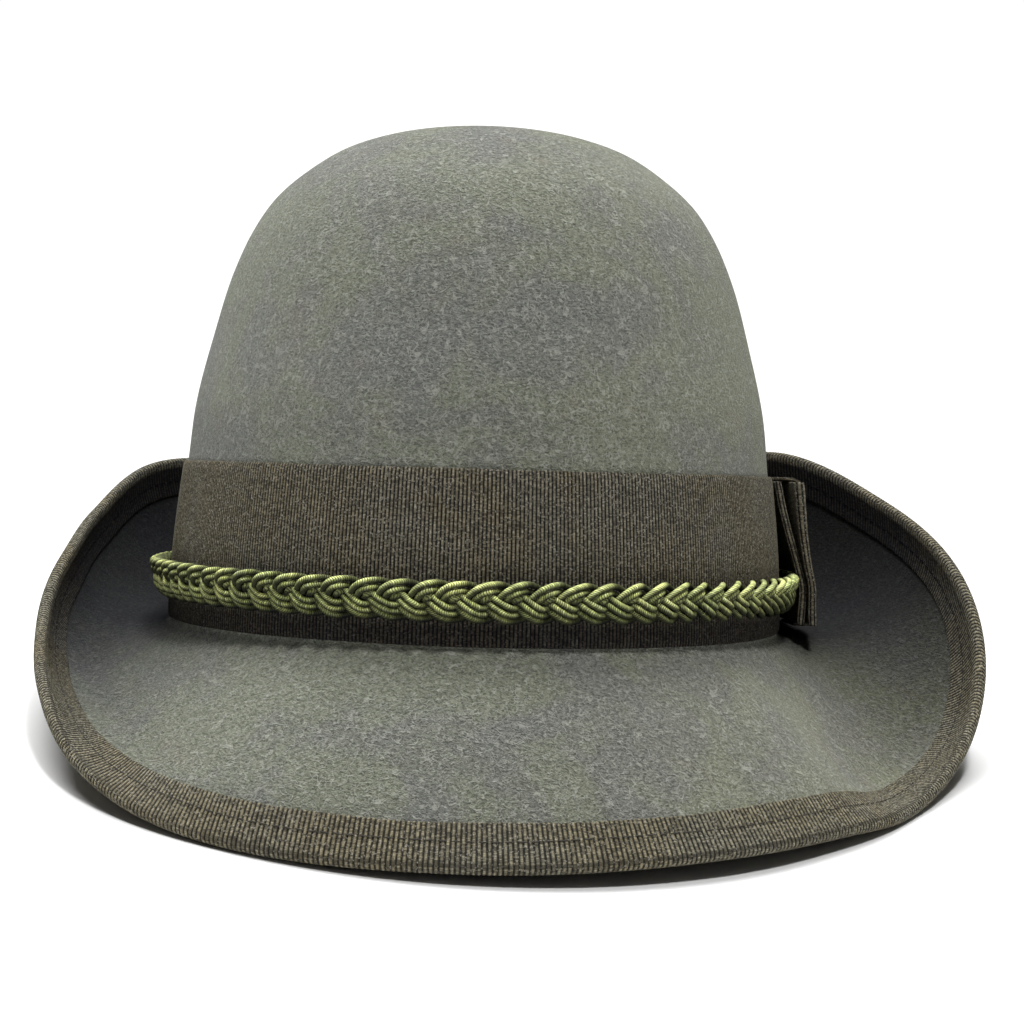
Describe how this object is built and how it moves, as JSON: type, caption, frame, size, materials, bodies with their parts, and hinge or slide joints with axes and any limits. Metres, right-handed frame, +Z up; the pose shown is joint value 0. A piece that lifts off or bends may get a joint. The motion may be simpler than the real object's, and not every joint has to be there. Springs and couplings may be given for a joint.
{
  "type": "tyrolean hat",
  "caption": "Soft felt hat with a tall round crown, brim down in front and up at the sides, ribbed band with side bow, plaited cord and bound edge.",
  "frame": {"origin": "middle of the hat's box, on the surface that it rests on", "axes": "+Z up from the surface, -Y towards the front of the brim, +X towards the wearer's left, where the bow is"},
  "size_m": [0.2698, 0.2936, 0.167],
  "materials": {
    "felt": "soft grey-green fur felt with short loose fibres",
    "band_ribbon": "dark brown-olive ribbed ribbon, dull",
    "binding_ribbon": "brown-olive ribbed ribbon, dull",
    "cord": "shiny olive-green wrapped cord, plaited"
  },
  "bodies": {
    "root": {"felt_body": "felt", "ribbon_band": "band_ribbon", "brim_binding": "binding_ribbon", "hat_cord": "cord", "bow_inner_loop": "band_ribbon", "bow_outer_loop": "band_ribbon", "bow_knot": "band_ribbon"}
  },
  "joints": []
}
